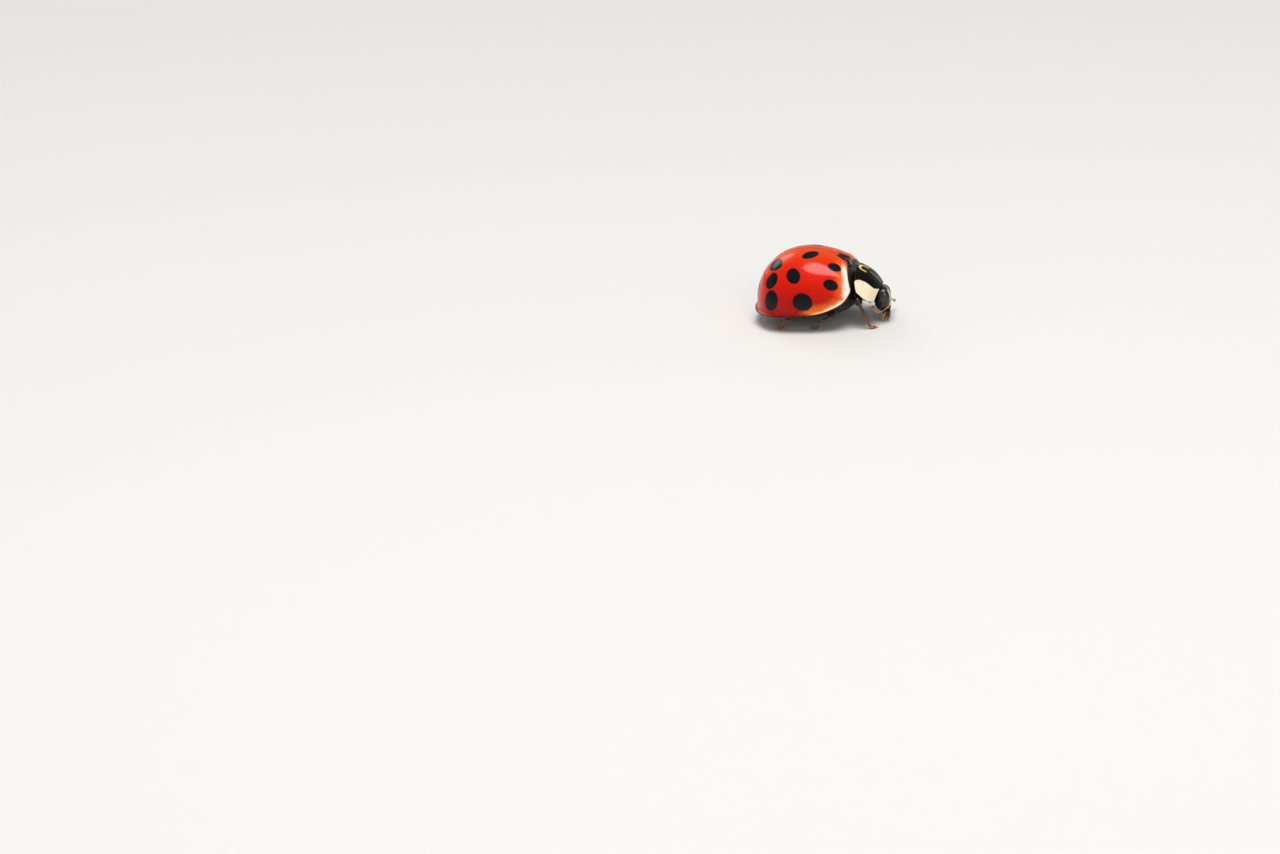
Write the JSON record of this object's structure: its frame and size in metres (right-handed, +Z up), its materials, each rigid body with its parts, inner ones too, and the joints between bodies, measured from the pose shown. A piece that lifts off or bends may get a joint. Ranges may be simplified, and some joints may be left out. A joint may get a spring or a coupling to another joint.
{
  "type": "ladybird",
  "caption": "Life-size still model of a spotted red ladybird standing on six feet with its head stretched down.",
  "frame": {"origin": "on the floor under the middle of the animal's box", "axes": "+X to the animal's left, -Y towards its head, +Z up from the floor it stands on"},
  "size_m": [0.0058, 0.0079, 0.0042],
  "materials": {
    "wing_case": "glossy chitin, orange-red at the suture to deep red at the side, with black spots and a pale rim at the shoulder",
    "scutellum": "glossy brown-black chitin",
    "pronotum": "glossy cream chitin with a black M",
    "underside": "satin black chitin with short hairs",
    "head": "glossy black chitin with pale marks",
    "eye": "black, faceted, glossy",
    "mouth": "chestnut chitin",
    "antenna": "orange-brown chitin with short hairs",
    "leg": "black to dark brown chitin, satin, hairy",
    "foot": "red-brown chitin with pale hairs below"
  },
  "bodies": {
    "root": {"elytron_left": "wing_case", "elytron_right": "wing_case", "scutellum": "scutellum", "pronotum": "pronotum", "prothorax": "underside", "thorax": "underside", "abdomen": "underside", "head": "head", "eye_left": "eye", "eye_right": "eye", "mouthparts": "mouth", "palp_left": "mouth", "palp_right": "mouth", "antenna_left": "antenna", "antenna_right": "antenna", "femur_front_left": "leg", "tibia_front_left": "leg", "tarsus_front_left": "foot", "femur_front_right": "leg", "tibia_front_right": "leg", "tarsus_front_right": "foot", "femur_middle_left": "leg", "tibia_middle_left": "leg", "tarsus_middle_left": "foot", "femur_middle_right": "leg", "tibia_middle_right": "leg", "tarsus_middle_right": "foot", "femur_hind_left": "leg", "tibia_hind_left": "leg", "tarsus_hind_left": "foot", "femur_hind_right": "leg", "tibia_hind_right": "leg", "tarsus_hind_right": "foot"}
  },
  "joints": []
}
